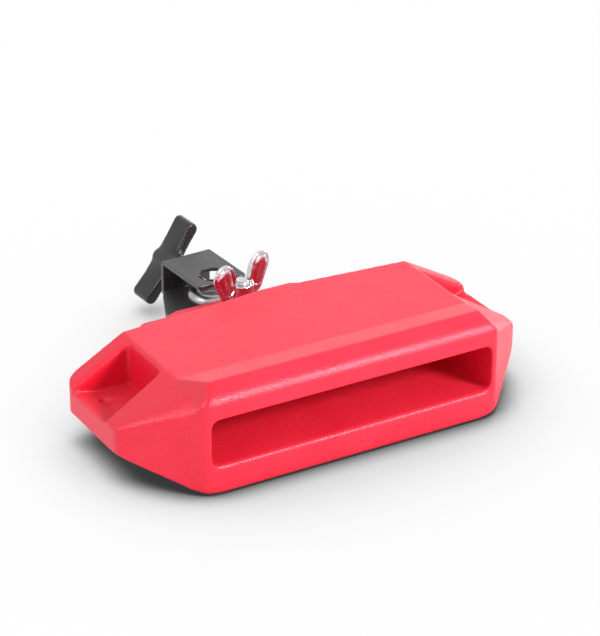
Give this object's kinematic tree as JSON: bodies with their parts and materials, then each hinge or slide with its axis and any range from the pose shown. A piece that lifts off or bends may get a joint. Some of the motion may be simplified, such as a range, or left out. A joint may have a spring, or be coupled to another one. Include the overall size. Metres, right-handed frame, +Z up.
{
  "type": "woodblock",
  "caption": "Moulded plastic percussion block with a wide slot mouth, winged side pockets and a bolted rod clamp with wing nut, eye bolt and bar knob.",
  "frame": {"origin": "middle of the block's base, on the surface it stands on", "axes": "+X along the block from wing to wing, +Y from the mouth to the clamp, +Z up; the mouth faces -Y"},
  "size_m": [0.235, 0.2081, 0.0618],
  "materials": {
    "block_plastic": "bright red moulded plastic with a satin skin",
    "bracket_coat": "black coated sheet steel",
    "bright_steel": "bright plated steel",
    "nut_chrome": "chrome plated casting",
    "eye_chrome": "chrome plated forging",
    "insert_brass": "turned brass",
    "knob_plastic": "black moulded plastic"
  },
  "bodies": {
    "block": {"block": "block_plastic", "flat_washer": "bright_steel"},
    "bracket": {"bracket": "bracket_coat", "bracket_bolt": "bright_steel", "knob_washer": "bright_steel"},
    "lock_washer": {"lock_washer": "bright_steel"},
    "wing_nut": {"wing_nut": "nut_chrome"},
    "eye_bolt": {"eye_bolt": "eye_chrome"},
    "knob": {"knob": "knob_plastic", "knob_insert": "insert_brass"}
  },
  "joints": [
    {"name": "bracket_swivel", "type": "hinge", "parent": "block", "child": "bracket", "pos_m": [0, 0.0696, 0.0195], "axis": [0, 0, 1], "range_deg": [-23, 17]},
    {"name": "wing_nut_lift", "type": "slide", "parent": "bracket", "child": "lock_washer", "axis": [0, 0, 1], "range_m": [0, 0.00625]},
    {"name": "wing_nut_turn", "type": "hinge", "parent": "lock_washer", "child": "wing_nut", "pos_m": [0, 0.0696, 0.0386], "axis": [0, 0, 1], "range_deg": [0, 1800]},
    {"name": "knob_turn", "type": "hinge", "parent": "bracket", "child": "knob", "pos_m": [-0.00322, 0.131, 0.02905], "axis": [0.0523, -0.9986, 0], "range_deg": [-288, 2160]},
    {"name": "eye_slide", "type": "slide", "parent": "bracket", "child": "eye_bolt", "axis": [-0.0523, 0.9986, 0], "range_m": [-0.001, 0.0075]}
  ],
  "couplings": [
    {"joint": "wing_nut_turn", "follows": "wing_nut_lift", "rad_per_m": 5026.5},
    {"joint": "knob_turn", "follows": "eye_slide", "rad_per_m": 5026.5}
  ]
}
